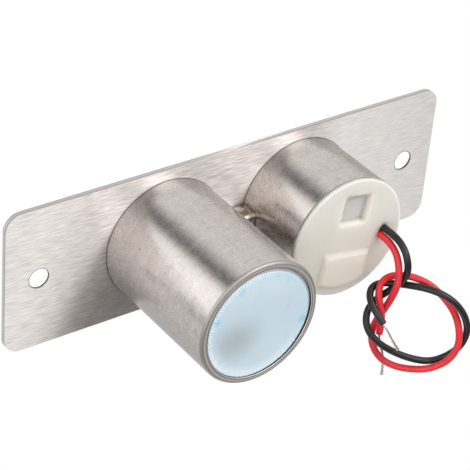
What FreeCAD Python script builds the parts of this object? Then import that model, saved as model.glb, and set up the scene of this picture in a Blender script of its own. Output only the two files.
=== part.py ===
import FreeCAD, Part
import math
import os

import Sketcher
from FreeCAD import Placement, Rotation, Vector

# Electric drop bolt lock: a face plate with two round housings on its back. The long housing
# holds a solenoid that draws the bolt in, and the short one holds the control board.
#
# Every piece is drawn with x along the face plate, y up across it and z out behind it, from the
# plate's back face, and is then turned so that z runs along -Y. The origin is midway between
# the two screw holes, on the plate's back face.

SIZES = {
    # Face plate
    "plate_length": 148,
    "plate_width": 45,
    "plate_thickness": 1.6,
    "plate_corner": 5,
    "screw_edge": 10.5,
    "screw_hole": 6.1,
    "countersink": 1.2,
    # The two round housings
    "tube_spacing": 46,
    "tube_diameter": 38,
    "tube_wall": 1.2,
    "long_tube_length": 46.5,
    "short_tube_length": 24,
    # Rolled rim, rear cap and its film
    "rim_width": 2,
    "rim_thickness": 0.9,
    "rim_land": 1,
    "rim_lip_round": 0.15,
    "rear_cap_thickness": 1.1,
    "cap_gap": 0.25,
    "cap_recess": 0.5,
    "cap_round": 0.2,
    "film_margin": 0.45,
    "film_thickness": 0.1,
    # Duct between the housings and the notches that open into it
    "duct_width": 6,
    "duct_height": 6.3,
    "duct_wall": 0.8,
    "duct_round": 1.2,
    "notch_clearance": 1.5,
    # Bolt and what stops it
    "bolt_diameter": 12,
    "throw": 10,
    "nose_chamfer": 1.6,
    "bolt_tail": 9,
    "spigot_diameter": 6,
    "spigot_length": 6,
    "running_clearance": 0.05,
    "bush_flange_diameter": 20,
    "bush_flange": 2.2,
    "bush_wall": 2,
    "stop_gap": 0.2,
    "ring_groove": 0.8,
    "ring_width": 2.6,
    "ring_thickness": 1,
    "ring_mouth": 4,
    "washer_diameter": 18,
    "washer_thickness": 1,
    "cross_pin": 2,
    # Return spring
    "spring_length": 14.6,
    "spring_wire": 0.7,
    "spring_clearance": 1.2,
    "spring_turns": 5.5,
    # Solenoid
    "stack_clearance": 0.1,
    "spacer_wall": 2.4,
    "pole_thickness": 2.5,
    "can_clearance": 0.4,
    "can_wall": 1.4,
    "can_floor": 2.2,
    "core_length": 6.6,
    "core_spigot": 8,
    "buffer_thickness": 0.4,
    "sleeve_wall": 0.45,
    "bobbin_clearance": 0.1,
    "bobbin_tube_wall": 1.2,
    "bobbin_flange": 1.2,
    "winding_depth": 6.4,
    "tape_thickness": 0.3,
    # Leads
    "coil_lead": 1.3,
    "coil_lead_spacing": 2.2,
    "supply_lead": 2.1,
    "outlet_clearance": 0.15,
    "strands": 1.1,
    "strand_stub": 1.5,
    # End plug of the short housing
    "plug_flange": 1.6,
    "plug_edge": 0.1,
    "plug_fit": 0.1,
    "plug_wall": 1.4,
    "plug_end_wall": 2.4,
    "plug_skirt": 8.4,
    "plug_round": 0.3,
    "plug_turn": 10,
    "window_left": 4.35,
    "window_right": 4.7,
    "window_bottom": 4.9,
    "window_top": 13.5,
    "window_depth": 2.2,
    "window_wall": 1.2,
    "window_round": 0.6,
    "window_lip": 1,
    "pad_left": 7.65,
    "pad_right": 9.2,
    "pad_top": 4.3,
    "pad_margin": 2.4,
    "pad_height": 1.2,
    "pad_taper": 45,
    "pad_round": 0.5,
    # Control board and what stands on it
    "board_stand_off": 9,
    "board_thickness": 1.6,
    "board_clearance": 1.6,
    "post_circle": 13.5,
    "post_diameter": 4.4,
    "post_screw": 2,
    "post_screw_length": 8,
    "post_screw_head": 3.8,
    "post_screw_head_height": 1.3,
    "relay_length": 12.5,
    "relay_width": 7.5,
    "relay_height": 7,
    "relay_right": 5.5,
    "relay_top": -3.2,
    "capacitor_diameter": 8,
    "capacitor_height": 7.6,
    "capacitor_x": 5.5,
    "capacitor_y": 10.2,
    "capacitor_waist": 1.4,
    "chip_length": 9.6,
    "chip_width": 6.4,
    "chip_height": 3.2,
    "chip_leg_pitch": 2.54,
    "chip_leg_reach": 0.5,
    "chip_x": -4.4,
    "chip_y": 8.4,
    "diode_diameter": 2.6,
    "diode_length": 5,
    "diode_x": 11,
    "diode_y": -4,
    "reed_diameter": 2.2,
    "reed_length": 12,
    "reed_height": 6.4,
    "reed_y": 0.8,
    "component_leg": 0.6,
    "leg_reach": 2,
    "solder_diameter": 2.6,
    "solder_height": 0.8,
    "red_pad_x": 10.6,
    "red_pad_y": -4.6,
    "black_pad_x": 13.2,
    "black_pad_y": 1.6,
    # Where the short housing's axis stands for the routes below
    "route_axis": 23,
}

# The routes of the two supply leads, chosen by hand along the loops that they lie in, as
# X, Y, Z places in mm. The first point of each is its exit on the end plug's face.
RED_ROUTE = [
    (34.8, -25.6, -2.45), (34.8, -27.9, -2.45), (34.8, -30.1, -2.7), (34.8, -32.2, -3.5),
    (34.8, -34.0, -5.1), (34.65, -35.4, -7.45), (34.45, -36.3, -10.4), (33.55, -37.0, -13.85),
    (32.65, -36.1, -18.4), (32.65, -33.8, -23.55), (32.15, -31.9, -28.05), (31.25, -31.4, -32.1),
    (31.05, -32.7, -36.3), (32.8, -35.0, -40.35), (36.0, -37.8, -42.55), (39.95, -41.1, -43.05),
    (43.95, -44.8, -42.05), (47.6, -48.2, -38.25), (49.95, -49.2, -33.35), (50.25, -48.4, -28.1),
    (49.5, -46.2, -22.7), (46.85, -43.0, -17.85), (43.85, -39.3, -14.45), (40.4, -35.6, -13.05),
    (37.1, -33.1, -12.85), (33.9, -32.0, -13.2), (31.4, -32.2, -14.8), (30.25, -33.3, -17.25),
    (30.35, -34.5, -20.15), (30.9, -35.2, -23.6), (31.2, -35.2, -26.9), (31.65, -34.5, -30.85),
]
BLACK_ROUTE = [
    (36.0, -25.6, -0.5), (36.0, -28.4, -0.5), (36.0, -31.0, -0.6), (36.0, -33.5, -1.25),
    (36.0, -35.7, -2.65), (36.05, -37.1, -4.8), (36.55, -37.4, -7.6), (37.05, -36.7, -10.8),
    (36.8, -35.1, -14.45), (34.9, -33.0, -17.65), (32.5, -31.1, -20.5), (29.8, -30.4, -23.45),
    (28.05, -31.7, -26.6), (28.2, -33.6, -29.95), (30.5, -35.8, -33.3), (34.5, -38.1, -36.45),
    (39.7, -40.5, -39.35), (45.6, -43.0, -41.15), (50.4, -45.6, -38.7), (52.75, -48.1, -33.7),
    (52.75, -49.2, -27.25), (49.75, -48.7, -20.35), (45.55, -46.4, -15.45), (41.6, -42.2, -13.8),
    (38.85, -36.7, -14.95), (36.7, -32.6, -16.1), (34.0, -30.4, -16.25), (31.2, -29.9, -16.45),
    (29.0, -30.9, -17.35), (27.75, -32.9, -18.65), (27.6, -35.1, -20.25), (28.1, -37.0, -22.0),
    (28.95, -38.5, -24.0),
]
# Where the bare strands go on, after a short stub straight out of each lead's end
RED_STRANDS = [
    (32.85, -34.1, -35.55), (34.35, -34.2, -39.45), (34.95, -34.4, -44.0), (34.9, -34.5, -47.55),
]
BLACK_STRANDS = [(30.65, -39.5, -27.55), (32.65, -39.5, -31.1), (34.95, -39.9, -34.8)]

document = FreeCAD.newDocument("drop_bolt_lock")
sheet = document.addObject("Spreadsheet::Sheet", "Sizes")
for row, (alias, size) in enumerate(SIZES.items(), start=1):
    sheet.set("A" + str(row), alias)
    sheet.set("B" + str(row), str(size))
    sheet.setAlias("B" + str(row), alias)
document.recompute()


def value(expression):
    """Works out an expression of the sheet's sizes."""
    return float(sheet.evalExpression(expression))


# Places that several pieces share, as expressions of the sheet's sizes
SCREW_PLACE = "(Sizes.plate_length / 2 - Sizes.screw_edge)"
LONG_TUBE = "-Sizes.tube_spacing / 2"
SHORT_TUBE = "Sizes.tube_spacing / 2"
ROUTE_SHIFT = f"{SHORT_TUBE} - Sizes.route_axis"
TUBE_OUTSIDE = "Sizes.tube_diameter / 2"
TUBE_INSIDE = f"({TUBE_OUTSIDE} - Sizes.tube_wall)"
RIM_INSIDE = f"({TUBE_OUTSIDE} - Sizes.rim_width)"
RIM_SEAT = "(Sizes.long_tube_length - Sizes.rim_thickness)"
RIM_ROUND = "(Sizes.rim_width - Sizes.rim_land)"
CAP_FRONT = f"({RIM_SEAT} - Sizes.rear_cap_thickness)"
CAP_BACK = "(Sizes.long_tube_length - Sizes.cap_recess)"
CAP_FACE_RADIUS = f"({RIM_INSIDE} - Sizes.cap_gap)"
BOLT_RADIUS = "Sizes.bolt_diameter / 2"
BORE_RADIUS = f"({BOLT_RADIUS} + Sizes.running_clearance)"
BUSH_RADIUS = f"({BORE_RADIUS} + Sizes.bush_wall)"
NOSE = "-(Sizes.plate_thickness + Sizes.throw)"
RING_FRONT = "(Sizes.bush_flange + Sizes.stop_gap)"
WASHER_FRONT = f"({RING_FRONT} + Sizes.ring_thickness)"
SPRING_FRONT = f"({WASHER_FRONT} + Sizes.washer_thickness)"
POLE_FRONT = f"({SPRING_FRONT} + Sizes.spring_length)"
POLE_BACK = f"({POLE_FRONT} + Sizes.pole_thickness)"
CAN_BACK = f"({CAP_FRONT} - Sizes.stack_clearance)"
CAN_FLOOR = f"({CAN_BACK} - Sizes.can_floor)"
CAN_RADIUS = f"({TUBE_INSIDE} - Sizes.can_clearance)"
CAN_INSIDE = f"({CAN_RADIUS} - Sizes.can_wall)"
CORE_FRONT = f"({CAN_FLOOR} - Sizes.core_length)"
BUFFER_FRONT = f"({CORE_FRONT} - Sizes.buffer_thickness)"
PLUNGER_BACK = f"({BUFFER_FRONT} - Sizes.stop_gap - Sizes.throw)"
SLEEVE_OUTSIDE = f"({BORE_RADIUS} + Sizes.sleeve_wall)"
BOBBIN_BORE = f"({SLEEVE_OUTSIDE} + Sizes.bobbin_clearance)"
BOBBIN_TUBE = f"({BOBBIN_BORE} + Sizes.bobbin_tube_wall)"
BOBBIN_FRONT = f"({POLE_BACK} + Sizes.stack_clearance)"
BOBBIN_BACK = f"({CAN_FLOOR} - Sizes.stack_clearance)"
WINDING_FRONT = f"({BOBBIN_FRONT} + Sizes.bobbin_flange)"
WINDING_BACK = f"({BOBBIN_BACK} - Sizes.bobbin_flange)"
WINDING_RADIUS = f"({BOBBIN_TUBE} + Sizes.winding_depth)"
PIN_PLACE = "(Sizes.bolt_tail + Sizes.spigot_length / 2)"
LEAD_CIRCLE = f"({WINDING_RADIUS} - Sizes.coil_lead / 2 - 3 * Sizes.running_clearance)"
DUCT_CHANNEL = "(Sizes.duct_width - 2 * Sizes.duct_wall)"
DUCT_CEILING = "(Sizes.duct_height - Sizes.duct_wall)"
LEAD_LEVEL = f"{DUCT_CEILING} / 2"
PLUG_FACE = "(Sizes.short_tube_length + Sizes.plug_flange)"
PLUG_INNER = f"({PLUG_FACE} - Sizes.plug_end_wall)"
PLUG_RADIUS = f"({TUBE_OUTSIDE} - Sizes.plug_edge)"
SKIRT_RADIUS = f"({TUBE_INSIDE} - Sizes.plug_fit)"
SKIRT_INSIDE = f"({SKIRT_RADIUS} - Sizes.plug_wall)"
SKIRT_FRONT = "(Sizes.short_tube_length - Sizes.plug_skirt)"
BOARD_FRONT = "Sizes.board_stand_off"
BOARD_BACK = "(Sizes.board_stand_off + Sizes.board_thickness)"
BOARD_RADIUS = f"({TUBE_INSIDE} - Sizes.board_clearance)"
COIL_PAD = f"(-{BOARD_RADIUS} + Sizes.solder_diameter / 2)"

POST_ANGLES = (30, 150, 270)
RUNS_PER_TURN = 16
TO_THE_REAR = Rotation(Vector(1, 0, 0), 90)
pieces = []


def new_body(name, across="0"):
    """Starts a piece whose axis stands at the given place along the face plate."""
    body = document.addObject("PartDesign::Body", name)
    body.Label = name
    body.Placement = Placement(Vector(0, 0, 0), TO_THE_REAR)
    body.setExpression("Placement.Base.x", across)
    pieces.append(body)
    return body


def new_sketch(body, plane="XY_Plane", behind="0", turn=0, shift=None):
    """Attaches a sketch to one of the body's own planes, moved along its normal and turned in it."""
    sketch = body.newObject("Sketcher::SketchObject", body.Name + "_sketch")
    support = [face for face in body.Origin.OriginFeatures if face.Role == plane][0]
    sketch.AttachmentSupport = [(support, "")]
    sketch.MapMode = "FlatFace"
    sketch.AttachmentOffset = Placement(Vector(0, 0, 0), Rotation(Vector(0, 0, 1), turn))
    sketch.setExpression("AttachmentOffset.Base.z", behind)
    if shift:
        sketch.setExpression("AttachmentOffset.Base.x", shift[0])
        sketch.setExpression("AttachmentOffset.Base.y", shift[1])
    return sketch


def pin_point(sketch, geometry, point, x, y):
    """Holds a point at the place that two expressions give."""
    for kind, axis, expression in (("DistanceX", -2, x), ("DistanceY", -1, y)):
        if expression == "0":
            sketch.addConstraint(Sketcher.Constraint("PointOnObject", geometry, point, axis))
            continue
        constraint = Sketcher.Constraint(kind, -1, 1, geometry, point, value(expression))
        index = sketch.addConstraint(constraint)
        sketch.setExpression(f"Constraints[{index}]", expression)


def set_radius(sketch, geometry, radius):
    index = sketch.addConstraint(Sketcher.Constraint("Radius", geometry, value(radius)))
    sketch.setExpression(f"Constraints[{index}]", radius)


def outline(sketch, corners):
    """Draws a closed outline of straight lines through corners that expressions give."""
    places = [Vector(value(x), value(y), 0) for x, y in corners]
    first = sketch.GeometryCount
    count = len(places)
    for number in range(count):
        line = Part.LineSegment(places[number], places[(number + 1) % count])
        sketch.addGeometry(line)
    for number in range(count):
        after = first + (number + 1) % count
        sketch.addConstraint(Sketcher.Constraint("Coincident", first + number, 2, after, 1))
    for number, (x, y) in enumerate(corners):
        pin_point(sketch, first + number, 1, x, y)
    return sketch


def rectangle(sketch, left, right, bottom, top):
    return outline(sketch, [(left, bottom), (right, bottom), (right, top), (left, top)])


def circle(sketch, x, y, radius):
    round_line = Part.Circle(Vector(value(x), value(y), 0), Vector(0, 0, 1), value(radius))
    index = sketch.addGeometry(round_line)
    pin_point(sketch, index, 3, x, y)
    set_radius(sketch, index, radius)
    return sketch


def turned(body, corners, plane="XZ_Plane", behind="0", shift=None):
    """Turns a closed profile of radius and depth about the sketch's upright axis."""
    sketch = outline(new_sketch(body, plane, behind, shift=shift), corners)
    feature = body.newObject("PartDesign::Revolution", body.Name + "_turned")
    feature.Profile = sketch
    feature.ReferenceAxis = (sketch, ["V_Axis"])
    feature.Angle = 360
    return feature


def padded(body, sketch, length, forwards=False, both_ways=False):
    """Adds material behind the sketch, or in front of it towards the plate."""
    feature = body.newObject("PartDesign::Pad", body.Name + "_pad")
    feature.Profile = sketch
    feature.setExpression("Length", length)
    feature.Reversed = forwards
    if both_ways:
        feature.SideType = "Symmetric"
    return feature


def cut(body, sketch, length=None, backwards=False, both_ways=False):
    """Cuts in front of the sketch, behind it, or right through, and checks that it cut."""
    document.recompute()
    before = body.Shape.Volume
    feature = body.newObject("PartDesign::Pocket", body.Name + "_cut")
    feature.Profile = sketch
    feature.Reversed = backwards
    if length is None:
        feature.Type = "ThroughAll"
    else:
        feature.setExpression("Length", length)
    if both_ways:
        feature.SideType = "Symmetric"
    document.recompute()
    if not body.Shape.Volume < before:
        raise RuntimeError(feature.Name + " cut nothing")
    return feature


def smoothed(body, size, chosen, kind="Fillet"):
    """Rounds or chamfers the edges of the body's last feature that a test chooses."""
    document.recompute()
    base = body.Tip
    names = [f"Edge{number}" for number, edge in enumerate(base.Shape.Edges, start=1) if chosen(edge)]
    feature = body.newObject("PartDesign::" + kind, body.Name + "_" + kind.lower())
    feature.Base = (base, names)
    feature.setExpression("Radius" if kind == "Fillet" else "Size", size)
    return feature


def near(first, second):
    return abs(first - second) < 0.01


def is_ring(radius, depth):
    """A test for round edges of one radius at one depth behind the plate."""
    def test(edge):
        if not isinstance(edge.Curve, Part.Circle):
            return False
        return near(edge.Curve.Radius, value(radius)) and near(edge.Curve.Center.z, value(depth))
    return test


def is_level(depth):
    """A test for edges that lie at one depth behind the plate."""
    def test(edge):
        return near(edge.BoundBox.ZMin, value(depth)) and near(edge.BoundBox.ZMax, value(depth))
    return test


def is_upright(edge):
    return edge.BoundBox.XLength < 0.01 and edge.BoundBox.YLength < 0.01


def rounded_path(points):
    """Joins straight runs by tangent arcs, each as large as its two runs allow."""
    radii = []
    edges = []
    start = points[0]
    for before, corner, after in zip(points, points[1:], points[2:]):
        arriving = (corner - before).normalize()
        leaving = (after - corner).normalize()
        turn = arriving.getAngle(leaving)
        setback = 0.45 * min((corner - before).Length, (after - corner).Length)
        radii.append(setback / math.tan(turn / 2))
        arc_start = corner - arriving * setback
        arc_end = corner + leaving * setback
        inwards = (leaving - arriving).normalize()
        reach = radii[-1] / math.cos(turn / 2) - radii[-1]
        edges.append(Part.LineSegment(start, arc_start).toShape())
        edges.append(Part.Arc(arc_start, corner + inwards * reach, arc_end).toShape())
        start = arc_end
    edges.append(Part.LineSegment(start, points[-1]).toShape())
    return Part.Wire(edges), radii


def swept(path, diameter):
    """A round tube along a path, with a section across the path's start."""
    first = path.Edges[0]
    along = first.tangentAt(first.FirstParameter)
    section = Part.Wire(Part.makeCircle(diameter / 2, first.Vertexes[0].Point, along))
    return path.makePipeShell([section], True, False)


def cord(name, points, diameter):
    """A cord as a plain tube, with its tightest bend and its volume printed."""
    path, radii = rounded_path(points)
    shape = swept(path, diameter)
    expected = math.pi * diameter ** 2 / 4 * path.Length
    bends = " ".join(f"{radius:.1f}" for radius in radii)
    print(f"{name}: length {path.Length:.1f}, volume ratio {shape.Volume / expected:.4f}, radii {bends}")
    return shape


def add_feature(name, shape, across="0", turn=True):
    """Adds a piece whose shape is worked out here, drawn like the bodies or in the row's frame."""
    feature = document.addObject("Part::Feature", name)
    feature.Label = name
    feature.Shape = shape
    feature.Placement = Placement(Vector(0, 0, 0), TO_THE_REAR if turn else Rotation())
    feature.setExpression("Placement.Base.x", across)
    pieces.append(feature)


def make_face_plate():
    """Thin rounded plate with a countersunk screw hole at each end and a hole for the bush."""
    body = new_body("face_plate")
    half_length = "Sizes.plate_length / 2"
    half_width = "Sizes.plate_width / 2"
    sketch = rectangle(new_sketch(body), "-" + half_length, half_length, "-" + half_width, half_width)
    padded(body, sketch, "Sizes.plate_thickness", forwards=True)
    smoothed(body, "Sizes.plate_corner", is_upright)
    document.recompute()
    holes = new_sketch(body)
    circle(holes, "-" + SCREW_PLACE, "0", "Sizes.screw_hole / 2")
    circle(holes, SCREW_PLACE, "0", "Sizes.screw_hole / 2")
    circle(holes, LONG_TUBE, "0", BUSH_RADIUS)
    cut(body, holes)
    front_ring = is_ring("Sizes.screw_hole / 2", "-Sizes.plate_thickness")
    smoothed(body, "Sizes.countersink", front_ring, "Chamfer")


def lead_notch(body, depth, towards_short_tube):
    """Cuts the notch that lets the coil's leads through one side of a round wall."""
    half = f"{DUCT_CHANNEL} / 2"
    sketch = rectangle(new_sketch(body, "YZ_Plane"), "-" + half, half, "0", depth)
    cut(body, sketch, backwards=towards_short_tube)


def make_housings():
    """The long tube, whose end is rolled in to a rounded rim, and the short one, cut plain."""
    long_tube = new_body("long_tube", LONG_TUBE)
    end = "Sizes.long_tube_length"
    turned(long_tube, [
        (TUBE_INSIDE, "0"), (TUBE_OUTSIDE, "0"), (TUBE_OUTSIDE, end),
        (RIM_INSIDE, end), (RIM_INSIDE, RIM_SEAT), (TUBE_INSIDE, RIM_SEAT),
    ])
    smoothed(long_tube, RIM_ROUND, is_ring(TUBE_OUTSIDE, end))
    smoothed(long_tube, "Sizes.rim_lip_round", is_ring(RIM_INSIDE, end))
    lead_notch(long_tube, DUCT_CEILING, True)

    short_tube = new_body("short_tube", SHORT_TUBE)
    turned(short_tube, [
        (TUBE_INSIDE, "0"), (TUBE_OUTSIDE, "0"),
        (TUBE_OUTSIDE, "Sizes.short_tube_length"), (TUBE_INSIDE, "Sizes.short_tube_length"),
    ])
    lead_notch(short_tube, DUCT_CEILING, False)


def make_rear_cap():
    """Pressed disc held under the rolled rim, its middle raised inside it, and its film."""
    cap = new_body("rear_cap", LONG_TUBE)
    edge = f"({TUBE_INSIDE} - Sizes.running_clearance)"
    turned(cap, [
        ("0", CAP_FRONT), (edge, CAP_FRONT), (edge, RIM_SEAT),
        (CAP_FACE_RADIUS, RIM_SEAT), (CAP_FACE_RADIUS, CAP_BACK), ("0", CAP_BACK),
    ])
    smoothed(cap, "Sizes.cap_round", is_ring(CAP_FACE_RADIUS, CAP_BACK))
    film = new_body("cap_film", LONG_TUBE)
    film_edge = f"({CAP_FACE_RADIUS} - Sizes.film_margin)"
    padded(film, circle(new_sketch(film, behind=CAP_BACK), "0", "0", film_edge), "Sizes.film_thickness")


def make_link_duct():
    """Small channel that carries the coil's leads across between the housings."""
    body = new_body("link_duct")
    reach = f"({SHORT_TUBE} - {TUBE_OUTSIDE} + 1)"
    half_width = "Sizes.duct_width / 2"
    sketch = rectangle(new_sketch(body), "-" + reach, reach, "-" + half_width, half_width)
    padded(body, sketch, "Sizes.duct_height")
    smoothed(body, "Sizes.duct_round", lambda edge: near(edge.BoundBox.ZMin, value("Sizes.duct_height"))
             and edge.BoundBox.YLength < 0.01)
    document.recompute()
    ends = new_sketch(body)
    circle(ends, LONG_TUBE, "0", TUBE_OUTSIDE)
    circle(ends, SHORT_TUBE, "0", TUBE_OUTSIDE)
    cut(body, ends, backwards=True)
    half_channel = f"{DUCT_CHANNEL} / 2"
    channel = new_sketch(body, behind=DUCT_CEILING)
    rectangle(channel, "-" + reach, reach, "-" + half_channel, half_channel)
    cut(body, channel, DUCT_CEILING)


def make_bolt():
    """The bolt, its plunger, and the ring and washer that stop it and take the spring."""
    bolt = new_body("bolt", LONG_TUBE)
    groove = f"({BOLT_RADIUS} - Sizes.ring_groove)"
    spigot = "Sizes.spigot_diameter / 2"
    spigot_end = "Sizes.bolt_tail + Sizes.spigot_length"
    turned(bolt, [
        ("0", NOSE), (f"{BOLT_RADIUS} - Sizes.nose_chamfer", NOSE),
        (BOLT_RADIUS, f"{NOSE} + Sizes.nose_chamfer"), (BOLT_RADIUS, RING_FRONT),
        (groove, RING_FRONT), (groove, WASHER_FRONT), (BOLT_RADIUS, WASHER_FRONT),
        (BOLT_RADIUS, "Sizes.bolt_tail"), (spigot, "Sizes.bolt_tail"), (spigot, spigot_end),
        ("0", spigot_end),
    ])
    smoothed(bolt, "Sizes.nose_chamfer / 2", is_ring(BOLT_RADIUS, f"{NOSE} + Sizes.nose_chamfer"))

    plunger = new_body("plunger", LONG_TUBE)
    bore = f"({spigot} + Sizes.running_clearance)"
    bore_end = f"({spigot_end} + Sizes.stop_gap)"
    turned(plunger, [
        (bore, "Sizes.bolt_tail"), (BOLT_RADIUS, "Sizes.bolt_tail"), (BOLT_RADIUS, PLUNGER_BACK),
        ("0", PLUNGER_BACK), ("0", bore_end), (bore, bore_end),
    ])
    for body in (bolt, plunger):
        hole = circle(new_sketch(body, "XZ_Plane"), "0", PIN_PLACE, "Sizes.cross_pin / 2")
        cut(body, hole, both_ways=True)

    cross_pin = new_body("cross_pin", LONG_TUBE)
    section = circle(new_sketch(cross_pin, "XZ_Plane"), "0", PIN_PLACE, "Sizes.cross_pin / 2")
    padded(cross_pin, section, "Sizes.bolt_diameter - 6 * Sizes.running_clearance", both_ways=True)

    ring = new_body("retaining_ring", LONG_TUBE)
    ring_inside = f"({groove} + Sizes.running_clearance)"
    ring_outside = f"({ring_inside} + Sizes.ring_width)"
    turned(ring, [(ring_inside, RING_FRONT), (ring_outside, RING_FRONT),
                  (ring_outside, WASHER_FRONT), (ring_inside, WASHER_FRONT)])
    mouth = new_sketch(ring, behind=WASHER_FRONT)
    rectangle(mouth, "-Sizes.ring_mouth / 2", "Sizes.ring_mouth / 2", "0", ring_outside)
    cut(ring, mouth, "Sizes.ring_thickness")

    washer = new_body("stop_washer", LONG_TUBE)
    washer_outside = "Sizes.washer_diameter / 2"
    turned(washer, [(BORE_RADIUS, WASHER_FRONT), (washer_outside, WASHER_FRONT),
                    (washer_outside, SPRING_FRONT), (BORE_RADIUS, SPRING_FRONT)])


def make_return_spring():
    """Open coil between the washer and the front pole plate, clear of both by half its wire."""
    wire = value("Sizes.spring_wire")
    radius = value(f"{BOLT_RADIUS} + Sizes.spring_clearance") + wire / 2
    margin = wire / 2 + value("Sizes.stack_clearance")
    front = value(SPRING_FRONT) + margin
    length = value("Sizes.spring_length") - 2 * margin
    steps = round(value("Sizes.spring_turns") * RUNS_PER_TURN)
    points = []
    for step in range(steps + 1):
        turn = 2 * math.pi * step / RUNS_PER_TURN
        points.append(Vector(radius * math.cos(turn), radius * math.sin(turn),
                             front + length * step / steps))
    path, _ = rounded_path(points)
    add_feature("return_spring", swept(path, wire), LONG_TUBE)


def ring_piece(name, inside, outside, front, back):
    body = new_body(name, LONG_TUBE)
    turned(body, [(inside, front), (outside, front), (outside, back), (inside, back)])
    return body


def make_guide_bush():
    """Flanged bush pressed through the plate, in which the bolt slides."""
    body = new_body("guide_bush", LONG_TUBE)
    flange = "Sizes.bush_flange_diameter / 2"
    turned(body, [
        (BORE_RADIUS, "-Sizes.plate_thickness"), (BUSH_RADIUS, "-Sizes.plate_thickness"),
        (BUSH_RADIUS, "0"), (flange, "0"), (flange, "Sizes.bush_flange"),
        (BORE_RADIUS, "Sizes.bush_flange"),
    ])


def lead_slot(body, depth, back):
    """Cuts a slot in a flange, from the leads' circle out to its edge."""
    half = f"{DUCT_CHANNEL} / 2"
    inner = f"({LEAD_CIRCLE} - Sizes.coil_lead)"
    sketch = rectangle(new_sketch(body, behind=back), inner, TUBE_INSIDE, "-" + half, half)
    cut(body, sketch, depth)


def make_solenoid():
    """Spacer, steel circuit, brass guide sleeve and coil, stacked against the rear cap."""
    spacer_inside = f"({CAN_RADIUS} - Sizes.spacer_wall)"
    spacer = ring_piece("spacer_sleeve", spacer_inside, CAN_RADIUS, "0", POLE_FRONT)
    lead_notch(spacer, f"({DUCT_CEILING} + Sizes.notch_clearance)", True)
    pole = ring_piece("front_pole_plate", SLEEVE_OUTSIDE, CAN_RADIUS, POLE_FRONT, POLE_BACK)
    lead_slot(pole, "Sizes.pole_thickness", POLE_BACK)

    can = new_body("solenoid_can", LONG_TUBE)
    spigot = "Sizes.core_spigot / 2"
    spigot_hole = f"({spigot} + Sizes.running_clearance)"
    turned(can, [
        (CAN_INSIDE, POLE_BACK), (CAN_RADIUS, POLE_BACK), (CAN_RADIUS, CAN_BACK),
        (spigot_hole, CAN_BACK), (spigot_hole, CAN_FLOOR), (CAN_INSIDE, CAN_FLOOR),
    ])
    core = new_body("fixed_core", LONG_TUBE)
    turned(core, [
        ("0", CORE_FRONT), (BOLT_RADIUS, CORE_FRONT), (BOLT_RADIUS, CAN_FLOOR),
        (spigot, CAN_FLOOR), (spigot, CAN_BACK), ("0", CAN_BACK),
    ])
    buffer_pad = new_body("core_buffer", LONG_TUBE)
    pad_edge = f"({BOLT_RADIUS} - Sizes.ring_groove)"
    pad = circle(new_sketch(buffer_pad, behind=BUFFER_FRONT), "0", "0", pad_edge)
    padded(buffer_pad, pad, "Sizes.buffer_thickness")
    ring_piece("guide_sleeve", BORE_RADIUS, SLEEVE_OUTSIDE, POLE_FRONT, CAN_FLOOR)

    bobbin = new_body("coil_bobbin", LONG_TUBE)
    flange = f"({CAN_INSIDE} - Sizes.can_clearance)"
    turned(bobbin, [
        (BOBBIN_BORE, BOBBIN_FRONT), (flange, BOBBIN_FRONT), (flange, WINDING_FRONT),
        (BOBBIN_TUBE, WINDING_FRONT), (BOBBIN_TUBE, WINDING_BACK), (flange, WINDING_BACK),
        (flange, BOBBIN_BACK), (BOBBIN_BORE, BOBBIN_BACK),
    ])
    lead_slot(bobbin, "Sizes.bobbin_flange", WINDING_FRONT)
    ring_piece("coil_winding", BOBBIN_TUBE, WINDING_RADIUS, WINDING_FRONT, WINDING_BACK)
    tape_outside = f"({WINDING_RADIUS} + Sizes.tape_thickness)"
    ring_piece("coil_tape", WINDING_RADIUS, tape_outside, WINDING_FRONT, WINDING_BACK)


def make_coil_leads():
    """Two thin leads from the winding, forward past the spring, through the duct to the board."""
    start_x = value(f"{LONG_TUBE} + {LEAD_CIRCLE}")
    end_x = value(f"{SHORT_TUBE} + {COIL_PAD}")
    level = value(LEAD_LEVEL)
    for name, side in (("coil_lead_red", 1), ("coil_lead_black", -1)):
        y = side * value("Sizes.coil_lead_spacing") / 2
        points = [
            Vector(start_x, y, value(WINDING_FRONT)), Vector(start_x, y, level),
            Vector(end_x, y, level), Vector(end_x, y, value(BOARD_FRONT)),
        ]
        add_feature(name, cord(name, points, value("Sizes.coil_lead")))


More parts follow.
